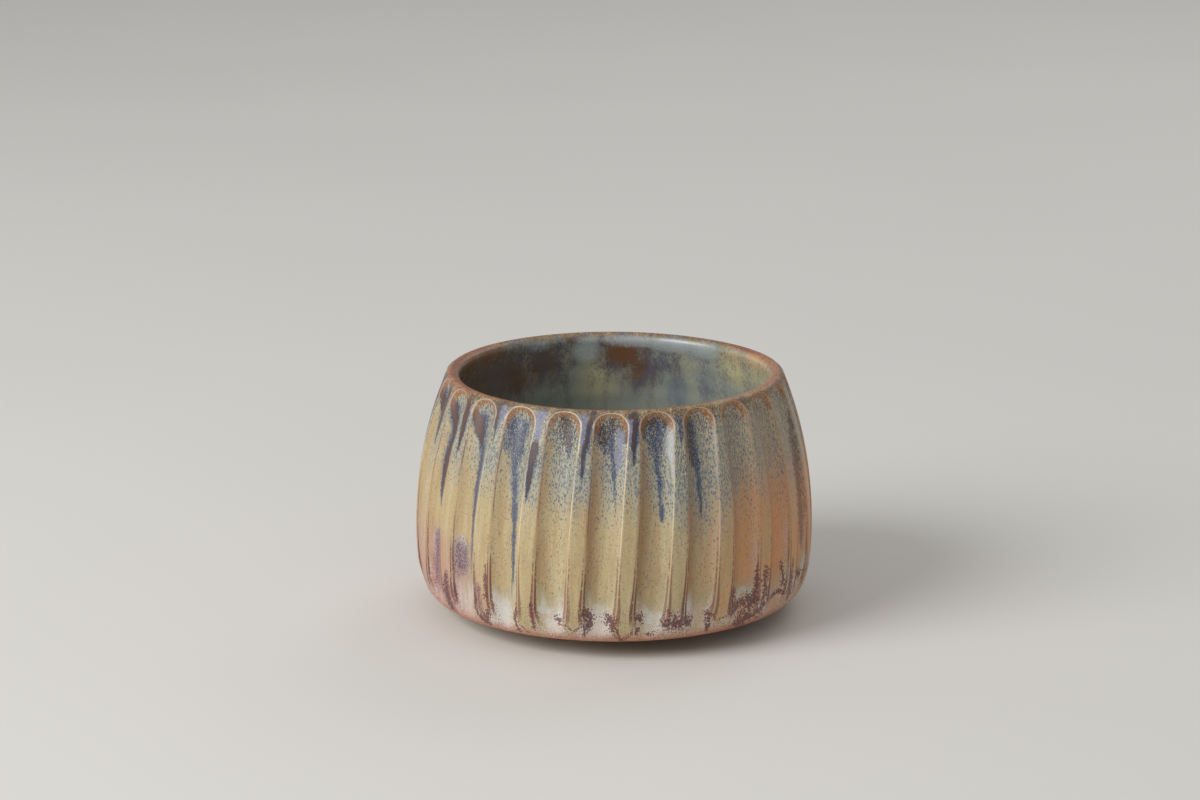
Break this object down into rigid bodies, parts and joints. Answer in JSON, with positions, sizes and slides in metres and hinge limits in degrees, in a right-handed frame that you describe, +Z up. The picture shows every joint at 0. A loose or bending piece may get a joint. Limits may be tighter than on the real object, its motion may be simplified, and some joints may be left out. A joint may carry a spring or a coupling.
{
  "type": "cortado cup",
  "caption": "Small handleless stoneware cortado cup with a rounded belly, upright carved flutes that end in arches under the lip, runny layered glaze and a bare clay foot ring.",
  "frame": {"origin": "on the table, at the middle of the foot ring", "axes": "+Z up along the cup's axis, -Y towards the pictured front"},
  "size_m": [0.084, 0.084, 0.0517],
  "materials": {
    "bare_clay": "unglazed fired stoneware, matte and slightly gritty",
    "outer_glaze": "satin ochre glaze with blue and brown runs from the lip and pinkish breaks along the edges of the flutes",
    "rim_glaze": "satin glaze, thin over the lip, where it breaks rust brown with dark specks",
    "liner_glaze": "glossy grey-green glaze with brown and blue-grey mottling"
  },
  "bodies": {
    "root": {"clay_body": "bare_clay", "outer_glaze": "outer_glaze", "rim_glaze": "rim_glaze", "liner_glaze": "liner_glaze"}
  },
  "joints": []
}
